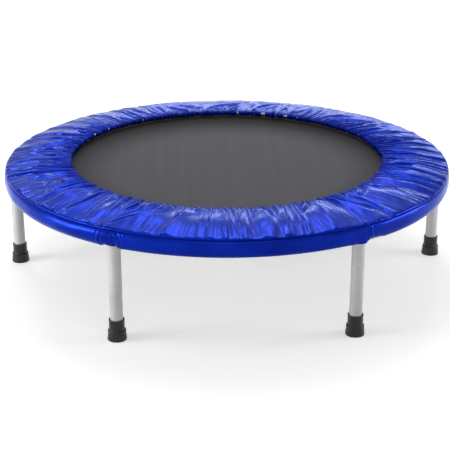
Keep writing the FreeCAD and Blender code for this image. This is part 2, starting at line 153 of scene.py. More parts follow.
# Coated cloth, glossy royal blue, with fine wrinkles that run out from the elastic, and painted shade in the hollows
# of the crinkles by the elastic
def coverFabric():
    look = {
        "blue": (0.0015, 0.019, 0.34), "deep": (0.001, 0.012, 0.26), "hollowShade": (0.0007, 0.004, 0.11),
        "roughness": 0.20, "metallic": 0.48, "level": 0.09, "tint": (0.55, 0.66, 1.0, 1),
        "smoothest": 0.18, "gatherRoughness": 0.16, "weavePitch": 0.0006,
    }
    # Strength and distance of each bump
    bumps = {"crease": (0.28, 0.0025), "wrinkle": (0.26, 0.0025), "crinkle": (0.85, 0.0016), "weave": (0.10, 0.00006)}
    material, tree, shader, place = newMaterial(
        "coatedClothBlue", look["blue"], look["roughness"], look["metallic"], IOR=1.5,
        Specular_IOR_Level=look["level"], Specular_Tint=look["tint"])
    patches = noiseOn(tree, place, 18, 3, 0.6)
    colour = rampOn(tree, patches, [(0.3, look["deep"]), (0.62, look["blue"])])
    flow = addNode(tree, "ShaderNodeAttribute", attribute_name="flow").outputs["Vector"]
    gather = addNode(tree, "ShaderNodeAttribute", attribute_name="gather").outputs["Fac"]
    wrinkles = noiseOn(tree, flow, 1.5, 3, 0.5, 0.5)
    crinkle = noiseOn(tree, flow, 6.5, 3, 0.8, 0.6)
    weighted = mathOn(tree, "MULTIPLY", crinkle, gather)
    # Painted shade: near the elastic, the crinkles' hollows are darkened towards the hollow shade colour
    shadedHollows = mathOn(tree, "MULTIPLY", mathOn(tree, "SUBTRACT", 1.0, crinkle), gather)
    mix = addNode(tree, "ShaderNodeMix", data_type="RGBA")
    tree.links.new(shadedHollows, mix.inputs["Factor"])
    tree.links.new(colour, mix.inputs[6])
    mix.inputs[7].default_value = (*look["hollowShade"], 1)
    tree.links.new(mix.outputs[2], shader.inputs["Base Color"])
    rough = mathOn(tree, "MULTIPLY_ADD", gather, look["gatherRoughness"], look["smoothest"])
    tree.links.new(rough, shader.inputs["Roughness"])
    creases = addNode(tree, "ShaderNodeTexNoise", noise_type="RIDGED_MULTIFRACTAL", Scale=1.0, Detail=1,
                      Gain=2, Offset=1)
    tree.links.new(flow, creases.inputs["Vector"])
    creased = bumpOn(tree, shader, creases.outputs["Fac"], *bumps["crease"])
    wrinkled = bumpOn(tree, shader, wrinkles, *bumps["wrinkle"], creased)
    crinkled = bumpOn(tree, shader, weighted, *bumps["crinkle"], wrinkled)
    weave = weaveOn(tree, place, look["weavePitch"])
    bumpOn(tree, shader, weave, *bumps["weave"], crinkled)
    return material


# Grey woven mesh with faint lengthwise streaks, darkened towards its edge by a painted shadow of the cover that is
# deepest at the rear
def matMesh():
    look = {
        "strand": (0.096, 0.092, 0.105), "gap": (0.038, 0.037, 0.041), "pitch": 0.0013, "roughness": 0.78,
        "streaks": (95, 1.2, 1), "shadeFrom": 0.235, "shadeTo": 0.372, "shadeShift": 0.064, "edgeShade": 0.10,
    }
    material, tree, shader, place = newMaterial(
        "wovenMeshGrey", look["strand"], look["roughness"], Specular_IOR_Level=0.14, Sheen_Weight=0.03)
    weave = weaveOn(tree, place, look["pitch"])
    colour = rampOn(tree, weave, [(0.05, look["gap"]), (0.45, look["strand"])])
    stretch = addNode(tree, "ShaderNodeMapping")
    stretch.inputs["Scale"].default_value = look["streaks"]
    tree.links.new(place, stretch.inputs["Vector"])
    streak = noiseOn(tree, stretch.outputs["Vector"], 1.0, 2)
    shade = rampOn(tree, streak, [(0.3, (0.95, 0.95, 0.95)), (0.7, (1.04, 1.04, 1.04))])
    # Painted shadow: the colour falls off towards the mat's edge, measured from a point moved towards the front so
    # that the rear edge is darkest
    edge = addNode(tree, "ShaderNodeVectorMath", operation="LENGTH")
    flat = addNode(tree, "ShaderNodeMapping")
    flat.inputs["Scale"].default_value = (1, 1, 0)
    flat.inputs["Location"].default_value = (0, look["shadeShift"], 0)
    tree.links.new(place, flat.inputs["Vector"])
    tree.links.new(flat.outputs["Vector"], edge.inputs[0])
    band = addNode(tree, "ShaderNodeMapRange", From_Min=look["shadeFrom"], From_Max=look["shadeTo"],
                   To_Min=1.0, To_Max=look["edgeShade"], interpolation_type="SMOOTHSTEP")
    tree.links.new(edge.outputs["Value"], band.inputs["Value"])
    mix = addNode(tree, "ShaderNodeMix", data_type="RGBA", blend_type="MULTIPLY")
    mix.inputs["Factor"].default_value = 1
    tree.links.new(colour, mix.inputs["A"])
    tree.links.new(shade, mix.inputs["B"])
    shadowed = addNode(tree, "ShaderNodeVectorMath", operation="SCALE")
    tree.links.new(mix.outputs[2], shadowed.inputs[0])
    tree.links.new(band.outputs["Result"], shadowed.inputs["Scale"])
    tree.links.new(shadowed.outputs["Vector"], shader.inputs["Base Color"])
    bumpOn(tree, shader, weave, 0.5, 0.0004)
    return material


# Ribbed tape: close ribs with a slight sheen
def webbing(name, colour, pitch=0.0016):
    material, tree, shader, place = newMaterial(name, colour, 0.62, Sheen_Weight=0.15, Sheen_Roughness=0.4)
    weave = weaveOn(tree, place, pitch)
    between = tuple(c * 0.45 for c in colour)
    onRib = tuple(c * 1.25 for c in colour)
    shade = rampOn(tree, weave, [(0.0, between), (0.7, onRib)])
    tree.links.new(shade, shader.inputs["Base Color"])
    bumpOn(tree, shader, weave, 0.6, 0.0004)
    return material


# Satin silver-grey paint on steel tube, with a fine orange peel
def silverPaint():
    material, tree, shader, place = newMaterial(
        "satinSilverPaint", (0.80, 0.80, 0.805), 0.36, 0.35, Specular_IOR_Level=0.55,
        Coat_Weight=0.12, Coat_Roughness=0.3)
    peel = noiseOn(tree, place, 900, 2)
    bumpOn(tree, shader, peel, 0.1, 0.0002)
    wear = noiseOn(tree, place, 35, 4, 0.4)
    tone = rampOn(tree, wear, [(0.25, (0.45, 0.45, 0.455)), (0.75, (0.52, 0.52, 0.525))])
    tree.links.new(tone, shader.inputs["Base Color"])
    rough = mathOn(tree, "MULTIPLY_ADD", wear, 0.16, 0.30)
    tree.links.new(rough, shader.inputs["Roughness"])
    return material


# Bright zinc plate with its mottled, slightly brushed skin
def platedSteel(name, colour, roughness):
    material, tree, shader, place = newMaterial(name, colour, roughness, 1.0)
    mottle = noiseOn(tree, place, 240, 4, 0.8)
    dull = tuple(c * 0.82 for c in colour)
    bright = tuple(min(c * 1.12, 1) for c in colour)
    tone = rampOn(tree, mottle, [(0.3, dull), (0.7, bright)])
    tree.links.new(tone, shader.inputs["Base Color"])
    rough = mathOn(tree, "MULTIPLY_ADD", mottle, 0.22, roughness - 0.1)
    tree.links.new(rough, shader.inputs["Roughness"])
    bumpOn(tree, shader, mottle, 0.12, 0.0003)
    return material


# Moulded black rubber: satin, with a fine grain and paler rubbed edges
def capRubber():
    material, tree, shader, place = newMaterial(
        "mouldedRubberBlack", (0.009, 0.009, 0.012), 0.33, Specular_IOR_Level=0.36)
    grain = noiseOn(tree, place, 700, 3)
    bumpOn(tree, shader, grain, 0.18, 0.0003)
    scuff = noiseOn(tree, place, 90, 4, 0.7)
    tone = rampOn(tree, scuff, [(0.35, (0.006, 0.006, 0.008)), (0.8, (0.020, 0.020, 0.024))])
    tree.links.new(tone, shader.inputs["Base Color"])
    rough = mathOn(tree, "MULTIPLY_ADD", scuff, 0.2, 0.23)
    tree.links.new(rough, shader.inputs["Roughness"])
    return material


# Closed-cell foam: matt, with small pits
def foamWhite():
    material, tree, shader, place = newMaterial("closedCellFoamWhite", (0.78, 0.78, 0.75), 0.85)
    cells = addNode(tree, "ShaderNodeTexVoronoi", Scale=420)
    tree.links.new(place, cells.inputs["Vector"])
    bumpOn(tree, shader, cells.outputs["Distance"], 0.4, 0.0006)
    tone = rampOn(tree, cells.outputs["Distance"], [(0.0, (0.66, 0.66, 0.63)), (0.45, (0.8, 0.8, 0.77))])
    tree.links.new(tone, shader.inputs["Base Color"])
    return material


# White elastic with a close braid
def braidedElastic():
    material, tree, shader, place = newMaterial("braidedElasticWhite", (0.62, 0.62, 0.6), 0.7, Sheen_Weight=0.2)
    braid = weaveOn(tree, place, 0.0011)
    tone = rampOn(tree, braid, [(0.0, (0.42, 0.42, 0.4)), (0.6, (0.68, 0.68, 0.66))])
    tree.links.new(tone, shader.inputs["Base Color"])
    bumpOn(tree, shader, braid, 0.5, 0.0004)
    return material


finishes = {
    "cover": coverFabric(),
    "mesh": matMesh(),
    "webbing": webbing("ribbedWebbingBlack", (0.016, 0.016, 0.017)),
    "paint": silverPaint(),
    "zinc": platedSteel("brightZincPlate", (0.62, 0.62, 0.62), 0.3),
    "wire": platedSteel("drawnSpringWire", (0.56, 0.56, 0.57), 0.26),
    "rubber": capRubber(),
    "foam": foamWhite(),
    "elastic": braidedElastic(),
    "matThread": webbing("sewingThreadGrey", (0.2, 0.2, 0.2), 0.0008),
}
print("materials made", len(finishes))


# Turns a bmesh into a finished piece that rides on a body and stands for its CAD nodes
def newPiece(name, build, finish, body, replaced=()):
    mesh = bpy.data.meshes.new(name)
    build.to_mesh(mesh)
    build.free()
    mesh.polygons.foreach_set("use_smooth", [True] * len(mesh.polygons))
    piece = bpy.data.objects.new(name, mesh)
    bpy.context.scene.collection.objects.link(piece)
    mesh.materials.append(finishes[finish])
    if body:
        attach(piece, body)
    if replaced:
        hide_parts(*replaced)
    return piece


# Gives a CAD node's own shape its finish
def dress(node, finish):
    nodes[node].data.materials.clear()
    nodes[node].data.materials.append(finishes[finish])


def vertsOf(result):
    return [item for item in result["geom"] if isinstance(item, bmesh.types.BMVert)]


def turnAbout(build, verts, angle):
    bmesh.ops.rotate(build, verts=verts, cent=(0, 0, 0), matrix=Matrix.Rotation(angle, 3, "Z"))


# Joins points, each a radius and a height, by edges in the XZ plane
def polyline(build, points):
    spots = [build.verts.new((across, 0, up)) for across, up in points]
    edges = [build.edges.new(pair) for pair in zip(spots, spots[1:])]
    return spots, edges


# A surface turned about a vertical axis from points given from the lower inside outwards
def spun(points, steps, closed=False, centre=(0, 0)):
    build = bmesh.new()
    spots, edges = polyline(build, points)
    if closed:
        edges.append(build.edges.new((spots[-1], spots[0])))
    longest = 45
    made = steps
    while made % 2 == 0 and made > longest:
        made //= 2
    bmesh.ops.spin(build, geom=spots + edges, cent=(0, 0, 0), axis=(0, 0, 1), angle=fullTurn * made / steps,
                   steps=made, use_merge=made == steps, use_duplicate=False)
    while made < steps:  # the part that is spun is doubled until it closes
        copy = bmesh.ops.duplicate(build, geom=build.verts[:] + build.edges[:] + build.faces[:])
        turnAbout(build, vertsOf(copy), fullTurn * made / steps)
        made *= 2
    bmesh.ops.remove_doubles(build, verts=build.verts, dist=1e-6)
    bmesh.ops.recalc_face_normals(build, faces=build.faces)
    bmesh.ops.translate(build, verts=build.verts, vec=(*centre, 0))
    return build


def readPlaces(mesh):
    flat = np.empty(len(mesh.vertices) * 3)
    mesh.vertices.foreach_get("co", flat)
    return flat.reshape(-1, 3)


def writePlaces(mesh, places):
    mesh.vertices.foreach_set("co", np.ascontiguousarray(places).reshape(-1))
    mesh.update()


# Radius and angle of every point about the object's axis
def polar(places):
    return np.hypot(places[:, 0], places[:, 1]), np.arctan2(places[:, 1], places[:, 0])


def outwardFrom(angles):
    return np.stack([np.cos(angles), np.sin(angles)], axis=1)


def smoothStep(value):
    value = np.clip(value, 0, 1)
    return value * value * (3 - 2 * value)


# Angles measured from a centre, from minus half a turn to half a turn
def angleFrom(angles, centre):
    return (angles - centre + math.pi) % fullTurn - math.pi


# A closed, irregular wave round the object, between minus one and one or so
def waves(angles, seed, lowest, highest, count):
    random = np.random.default_rng(seed)
    total = np.zeros_like(angles)
    for turns in random.integers(lowest, highest, count):
        total += np.sin(angles * turns + random.uniform(0, fullTurn))
    return total / math.sqrt(count)


# Camera as the photograph has it, with the object turned a little from square
cameraPlace = {
    "lens": 94.6, "sensor": 36.0, "distance": 2.6666, "pitch": math.radians(21.26),
    "turn": math.radians(-2.62), "target": (-0.00415, 0, 0.0768),
}


def addCamera():
    pitch = cameraPlace["pitch"]
    turn = Matrix.Rotation(cameraPlace["turn"], 4, "Z")
    offset = Vector((0, -math.cos(pitch), math.sin(pitch))) * cameraPlace["distance"]
    data = bpy.data.cameras.new("camera")
    data.lens = cameraPlace["lens"]
    data.sensor_width = cameraPlace["sensor"]
    data.sensor_fit = "HORIZONTAL"
    data.clip_end = 50
    camera = bpy.data.objects.new("camera", data)
    camera.matrix_world = (turn @ Matrix.Translation(Vector(cameraPlace["target"]) + offset)
                           @ Matrix.Rotation(math.pi / 2 - pitch, 4, "X"))
    bpy.context.scene.collection.objects.link(camera)
    bpy.context.scene.camera = camera


def areaLight(name, place, aim, width, height, power):
    data = bpy.data.lights.new(name, "AREA")
    data.shape = "RECTANGLE"
    data.size = width
    data.size_y = height
    data.energy = power
    light = bpy.data.objects.new(name, data)
    direction = Vector(aim) - Vector(place)
    facing = direction.to_track_quat("-Z", "Y").to_matrix().to_4x4()
    light.matrix_world = Matrix.Translation(place) @ facing
    bpy.context.scene.collection.objects.link(light)


# World, floor and soft lights; a light has its place, aim, width, height and power
studio = {
    "sky": 0.18, "floorSize": 12, "floorColour": (0.90, 0.90, 0.90), "floorGlow": 0.46,
    "whiteFrom": 0.6, "whiteTo": 2.2,
    "lights": {
        "leftBox": ((-2.4, -0.5, 0.6), (0, 0, 0.2), 1.0, 0.9, 26),
        "rightBox": ((2.4, -0.2, 0.6), (0, 0, 0.2), 1.2, 0.8, 24),
        "leftStrip": ((-2.2, -1.1, 0.30), (0, 0, 0.15), 0.9, 0.36, 15),
        "topBox": ((-0.6, -0.6, 2.6), (0, 0, 0.2), 1.0, 0.8, 4),
        "overheadBox": ((0.1, 1.1, 2.3), (0, 0, 0.2), 0.9, 1.0, 12),
        "overheadWide": ((0.1, 1.1, 2.4), (0, 0, 0.2), 1.9, 2.3, 15),
        "backBox": ((0.45, 3.0, 1.0), (0, 0, 0.2), 2.3, 0.40, 12.5),
        "highBox": ((0.1, 2.6, 1.6), (0, 0, 0.2), 2.6, 0.25, 5.3),
        "frontBox": ((0.0, -3.1, 1.35), (0, 0, 0.2), 2.4, 0.30, 7),
        "spark": ((-1.1, 1.5, 1.9), (0, 0, 0.2), 0.25, 0.25, 5),
    },
}


# One for rays that show the background: the camera's own, those in gloss and those through glass
def seenRays(tree):
    ray = addNode(tree, "ShaderNodeLightPath")
    direct = mathOn(tree, "MAXIMUM", ray.outputs["Is Camera Ray"], ray.outputs["Is Glossy Ray"])
    return mathOn(tree, "MAXIMUM", direct, ray.outputs["Is Transmission Ray"])


# Pale floor that turns white with distance, soft lights left, right and behind, and a white world
def addStudio():
    build = bmesh.new()
    bmesh.ops.create_grid(build, x_segments=1, y_segments=1, size=studio["floorSize"])
    mesh = bpy.data.meshes.new("studioFloor")
    build.to_mesh(mesh)
    build.free()
    floor = bpy.data.objects.new("studioFloor", mesh)
    bpy.context.scene.collection.objects.link(floor)
    material, tree, shader, spot = newMaterial("paleFloor", studio["floorColour"], 0.9, Specular_IOR_Level=0.1)
    away = addNode(tree, "ShaderNodeVectorMath", operation="LENGTH")
    tree.links.new(spot, away.inputs[0])
    whiter = addNode(tree, "ShaderNodeMapRange", From_Min=studio["whiteFrom"], From_Max=studio["whiteTo"],
                     To_Min=studio["floorGlow"], To_Max=1.0, interpolation_type="SMOOTHSTEP")
    tree.links.new(away.outputs["Value"], whiter.inputs["Value"])
    glow = mathOn(tree, "MULTIPLY", seenRays(tree), whiter.outputs["Result"])
    shader.inputs["Emission Color"].default_value = (1, 1, 1, 1)
    tree.links.new(glow, shader.inputs["Emission Strength"])
    mesh.materials.append(material)
    world = bpy.data.worlds.new("studio")
    world.use_nodes = True
    tree = world.node_tree
    air = tree.nodes["Background"]
    air.inputs["Color"].default_value = (1, 1, 1, 1)
    air.inputs["Strength"].default_value = studio["sky"]
    white = addNode(tree, "ShaderNodeBackground", Strength=1.0, Color=(1, 1, 1, 1))
    mix = addNode(tree, "ShaderNodeMixShader")
    tree.links.new(seenRays(tree), mix.inputs[0])
    tree.links.new(air.outputs[0], mix.inputs[1])
    tree.links.new(white.outputs[0], mix.inputs[2])
    tree.links.new(mix.outputs[0], tree.nodes["World Output"].inputs["Surface"])
    bpy.context.scene.world = world
    for name, light in studio["lights"].items():
        areaLight(name, *light)


scene = bpy.context.scene
scene.view_settings.view_transform = "Standard"
addCamera()
addStudio()
print("camera and studio set")

# Gathered top panel: a round strip of coated cloth drawn in by elastic
cover = {
    "columns": 1536, "rows": 42, "crowding": 1.1, "lie": 0.0007, "cutWidth": 3.05, "cutDepth": 0.158,
    "casingRows": 11, "casingRadius": 0.0040, "casingTurn": 1.2, "casingFlat": 0.35,
    # Seam, from the rim and the seam's height; crown, from the ring's radius and the cover's top
    "seam": [(-0.0034, -0.0005), (-0.0018, -0.0003), (-0.0005, 0.0001)],
    "crown": [(-0.055, 0.0), (-0.040, -0.0012), (-0.0214, -0.0038), (-0.0064, -0.0064), (0.009, -0.0088),
              (0.0150, -0.0100), (0.0165, -0.0112)],
    "crownSoft": 0.004, "crownHardFrom": 0.011,
}
# Folds of the gathers: valleys start at the elastic and meet their neighbours on the way to the seam
gathers = {
    "seed": 11, "valleys": 256, "jitter": 0.36, "levels": 101,
    "short": 0.40, "middle": 0.32, "shortReach": (0.10, 0.42), "middleReach": (0.42, 0.95),
    "lean": 0.045, "leanSpread": 0.014, "leanWave": (61, 2, 9, 5),
    "highest": 0.0068, "seamFade": 0.62, "steepness": 0.60, "easing": 0.45,
    "skew": 0.55, "rise": (0.5, 1.5), "pinch": (0.7, 2.4), "crisp": (0.15, 1.0),
    "puff": 0.0008, "puffWave": (31, 10, 34, 8), "ridge": 0.0026, "ridgeWave": (33, 18, 46, 9),
    "pressWave": (35, 6, 26, 6), "drift": 0.0013, "driftWave": (41, 20, 90, 8), "nearWidth": 0.03,
    "rearFrom": 0.15, "rearOver": 0.6, "rearRidge": 0.5, "rearCalm": 0.30,
}


# Height of the cover's crown at a radius: flat over the springs, then falling over the ring to the seam
def crownLine(radius):
    across, drop = zip(*cover["crown"])
    shifts = np.linspace(-cover["crownSoft"], cover["crownSoft"], 9)
    soft = [np.interp(radius - ringRadius + shift, across, drop) for shift in shifts]
    hard = np.interp(radius - ringRadius, across, drop)
    softened = np.where(radius < ringRadius + cover["crownHardFrom"], np.mean(soft, axis=0), hard)
    return crownHeight - cover["lie"] + softened


# Angle of every valley at each share of the way out; valleys with a short reach run into a neighbour
def valleyLines(shares):
    random = np.random.default_rng(gathers["seed"])
    count = gathers["valleys"]
    starts = (np.arange(count) + random.uniform(-gathers["jitter"], gathers["jitter"], count)) * fullTurn / count
    draw = random.uniform(0, 1, count)
    reach = np.full(count, 2.0)  # past the seam, for a valley that runs all the way
    short = draw < gathers["short"]
    middle = (draw >= gathers["short"]) & (draw < gathers["short"] + gathers["middle"])
    reach[short] = random.uniform(*gathers["shortReach"], short.sum())
    reach[middle] = random.uniform(*gathers["middleReach"], middle.sum())
    lean = gathers["lean"] * waves(starts, *gathers["leanWave"]) + random.normal(0, gathers["leanSpread"], count)
    order = np.argsort(reach)
    before = {number: (number - 1) % count for number in range(count)}
    after = {number: (number + 1) % count for number in range(count)}
    joins = {}
    for number in order[: int((reach < 1.5).sum())]:
        left, right = before[number], after[number]
        joins[number] = left if random.uniform() < 0.5 else right
        after[left], before[right] = right, left
    lines = {}
    for number in order[::-1]:
        own = starts[number] + lean[number] * shares
        if number in joins:
            target = lines[joins[number]]
            target = own + angleFrom(target, own)
            run = np.clip((shares / reach[number] - 0.2) / 0.8, 0, 1) ** 1.25
            own = own + (target - own) * run
        lines[number] = own
    table = np.array([lines[number] for number in range(count)])
    return np.maximum.accumulate(table, axis=0)


# Arched folds between the valleys; wide gaps rise higher, and the rise fades to the seam
def gatherRelief(angles, shares, radius):
    random = np.random.default_rng(gathers["seed"] + 1)
    count = gathers["valleys"]
    skew = np.exp(random.normal(0, gathers["skew"], count))
    rise = random.uniform(*gathers["rise"], count)
    pinch = np.exp(random.uniform(*(math.log(power) for power in gathers["pinch"]), count))
    crisp = random.uniform(*gathers["crisp"], count)
    levels = np.linspace(0, 1, gathers["levels"])
    lines = valleyLines(levels)
    relief = np.zeros_like(angles)
    place = shares * (len(levels) - 1)
    for row in np.unique(np.round(place, 4)):
        chosen = np.isclose(place, row, atol=1e-4)
        below = int(row)
        above = min(below + 1, len(levels) - 1)
        valleys = lines[:, below] + (lines[:, above] - lines[:, below]) * (row - below)
        turned = (angles[chosen] - valleys[0]) % fullTurn + valleys[0]
        index = np.searchsorted(valleys, turned, side="right") - 1
        following = np.append(valleys[1:], valleys[0] + fullTurn)
        gap = np.maximum(following[index] - valleys[index], 1e-6)
        part = np.clip((turned - valleys[index]) / gap, 0, 1) ** skew[index]
        rounded = 4 * part * (1 - part)
        ridged = np.clip(1.03 - np.sqrt((2 * part - 1) ** 2 + 0.001), 0, 1)  # a tent with a small round on top
        arch = (rounded + (ridged - rounded) * crisp[index]) ** pinch[index]
        width = gap * radius[chosen]
        share = row / (len(levels) - 1)
        ease = gathers["steepness"] * (1 - share) ** gathers["easing"]
        highest = gathers["highest"] * (1 - gathers["seamFade"] * share ** 2)
        tall = highest * (1 - np.exp(-width * ease * rise[index] / highest))
        relief[chosen] = tall * arch
    return relief


# Cloth simulation that lets the gathered panel buckle and settle on the foam
drape = {
    "frames": 6, "quality": 5, "swell": 0.015, "stiffness": 15, "shear": 5, "bending": 0.02,
    "damping": 1, "bendingDamping": 0.1, "mass": 0.0003, "gravity": 0.3,
    "highest": 0.0085, "seamFade": 0.6, "clearance": 0.0002, "soft": 0.0006, "keep": 0.8,
}


# Runs Blender's cloth on the panel with its seam and casing held, then keeps it above the foam
def settle(piece, share, held):
    before = readPlaces(piece.data)
    group = piece.vertex_groups.new(name="held")
    group.add([int(number) for number in np.flatnonzero(held)], 1.0, "REPLACE")
    cloth = piece.modifiers.new("cloth", "CLOTH")
    settings = cloth.settings
    settings.quality = drape["quality"]
    settings.mass = drape["mass"]
    settings.tension_stiffness = drape["stiffness"]
    settings.compression_stiffness = drape["stiffness"]
    settings.shear_stiffness = drape["shear"]
    settings.bending_model = "ANGULAR"
    settings.bending_stiffness = drape["bending"]
    settings.tension_damping = drape["damping"]
    settings.compression_damping = drape["damping"]
    settings.shear_damping = drape["damping"]
    settings.bending_damping = drape["bendingDamping"]
    settings.air_damping = drape["damping"]
    settings.shrink_min = -drape["swell"]
    settings.vertex_group_mass = "held"
    settings.effector_weights.gravity = drape["gravity"]
    cloth.collision_settings.use_collision = False
    cloth.point_cache.frame_start = 1
    cloth.point_cache.frame_end = drape["frames"]
    for number in range(1, drape["frames"] + 1):
        bpy.context.scene.frame_set(number)
    shape = piece.evaluated_get(bpy.context.evaluated_depsgraph_get())
    after = readPlaces(shape.data)
    piece.modifiers.remove(cloth)
    piece.vertex_groups.remove(group)
    bpy.context.scene.frame_set(1)
    radius, _ = polar(after)
    ground = crownLine(np.clip(radius, elasticRadius, rimRadius)) - drape["clearance"]
    lift = after[:, 2] - ground
    lift = drape["soft"] * np.logaddexp(0, lift / drape["soft"])
    top = drape["highest"] * (1 - drape["seamFade"] * share ** 2)
    lift = top * np.tanh(lift / top)
    free = ~held
    after[free, 2] = (ground + lift)[free]
    after = after * (1 - drape["keep"]) + before * drape["keep"]
    after[held] = before[held]
    print("cover settled, largest move", round(float(np.abs(after - before).max()), 4))
    writePlaces(piece.data, after)


# Seam, crown and casing turned into a plain ring, then moved into its folds
def makeCoverTop():
    inside = elasticRadius
    outside = rimRadius - 0.0002
    seam = [(outside + across, seamHeight + up) for across, up in cover["seam"]]
    shares = 1 - np.linspace(0, 1, cover["rows"]) ** cover["crowding"]
    spread = [inside + (outside - inside) * share for share in shares]
    crown = [(across, float(crownLine(across))) for across in spread]
    casing = []
    for step in range(1, cover["casingRows"] + 1):
        angle = math.pi / 2 + math.pi * cover["casingTurn"] * step / cover["casingRows"]
        upward = math.sin(angle) - cover["casingFlat"] * min(math.sin(angle), 0) ** 2
        casing.append((inside + cover["casingRadius"] * math.cos(angle),
                       elasticHeight + cover["casingRadius"] * upward))
    build = spun(seam + crown + casing, cover["columns"])
    piece = newPiece("gathered_top_panel", build, "cover", "frame", ("cover_top",))
    mesh = piece.data
    places = readPlaces(mesh)
    radius, angles = polar(places)
    share = np.clip((radius - inside) / (outside - inside), 0, 1)
    onCasing = radius < inside + 1e-4
    seamed = places[:, 2] < seamHeight + 0.0005
    relief = gatherRelief(angles, share, radius)
    near = 1 - smoothStep((radius - inside) / gathers["nearWidth"])
    rear = smoothStep((np.sin(angles) - gathers["rearFrom"]) / gathers["rearOver"])
    sag = gathers["puff"] * waves(angles + 0.3 * share, *gathers["puffWave"]) * np.sin(math.pi * share)
    # Longer ridges across the panel, pressed flat in places and calmer at the rear
    bent = angles - gathers["lean"] * waves(angles, *gathers["leanWave"]) * share
    pressed = np.clip(0.65 + 0.35 * waves(angles + 0.5 * share, *gathers["pressWave"]), 0.15, 1)
    edges = np.clip(share / 0.12, 0, 1) * np.clip((1 - share) / 0.05, 0, 1)
    edges *= 1 - gathers["rearRidge"] * rear
    tents = np.clip(1 - 2.0 * np.abs(waves(bent, *gathers["ridgeWave"])), 0, 1)
    cross = gathers["ridge"] * tents * pressed * edges
    calm = 1 - gathers["rearCalm"] * rear * smoothStep(share / 0.25)
    rise = (relief + np.abs(sag)) * calm + cross
    around = np.arctan2(places[:, 2] - elasticHeight, radius - inside)
    swell = relief * 0.95 - 0.0008
    unit = outwardFrom(angles)
    drift = gathers["drift"] * waves(angles, *gathers["driftWave"]) * near
    outward = np.where(onCasing, swell * np.cos(around), 0) + drift
    move = np.zeros_like(places)
    move[:, :2] = unit * outward[:, None]
    blendIn = smoothStep((radius - inside) / 0.004)
    move[:, 2] = np.where(onCasing, swell * np.sin(around), rise - 0.0008 * (1 - blendIn))
    move[seamed] = 0
    flow = np.stack([np.cos(angles) * 22, np.sin(angles) * 22, share * 1.1], axis=1)
    writePlaces(mesh, places + move)
    settle(piece, share, onCasing | seamed | (share > 0.985))
    coordinates = mesh.attributes.new("flow", "FLOAT_VECTOR", "POINT")
    coordinates.data.foreach_set("vector", np.ascontiguousarray(flow.astype(np.float32)).reshape(-1))
    gather = mesh.attributes.new("gather", "FLOAT", "POINT")
    gather.data.foreach_set("value", np.clip(near + 0.07, 0, 1).astype(np.float32))


makeCoverTop()
print("cover top panel gathered")

# Side wall: a plain strip from the seam to the hem, puffed a little and tucked in under the ring
skirt = {
    "columns": 1920, "shoulderRows": 9, "wallRows": 3, "turnRows": 9, "seamDrop": 0.0009, "seamIn": 0.0016,
    "puff": 0.0022, "shoulder": 0.0044, "shoulderDrop": 0.0110, "hemTuck": 0.0097, "turnHeight": 0.018,
    "cutWidth": 3.04, "cutDepth": 0.056,
    # Hem, from its inner edge and its height
    "hem": [(-0.0012, 0.0002), (-0.0020, 0.0016), (-0.0021, 0.0050), (-0.0016, 0.0068)],
    # At the legs: room, swell and how far the hem rises; then the step at one leg and the loose stretch
    "legRoom": 0.0150, "legClear": 0.0008, "legSwell": 0.0010, "legSwellWidth": 0.022, "hemRiseWidth": 0.0155,
    "hemRises": (0.0065, 0.0065, 0.0065, 0.0065, 0.0065, 0.0015),
    "stepLeg": 5, "stepUp": 0.0034, "stepSwell": 0.0016,
    "loose": 0.0036, "looseAt": 225, "looseSpan": 13,
    "ripple": 0.00030, "rippleWave": (51, 14, 70, 8), "hemRipple": 0.00012, "hemRippleWave": (53, 120, 320, 8),
    # Pleats: leg, offset along the rim, how many, pitch and depth
    "pleats": [(4, 0.0, 8, 0.0068, 0.0056), (5, 0.012, 2, 0.0070, 0.0030), (0, 0.006, 2, 0.0090, 0.0026)],
}


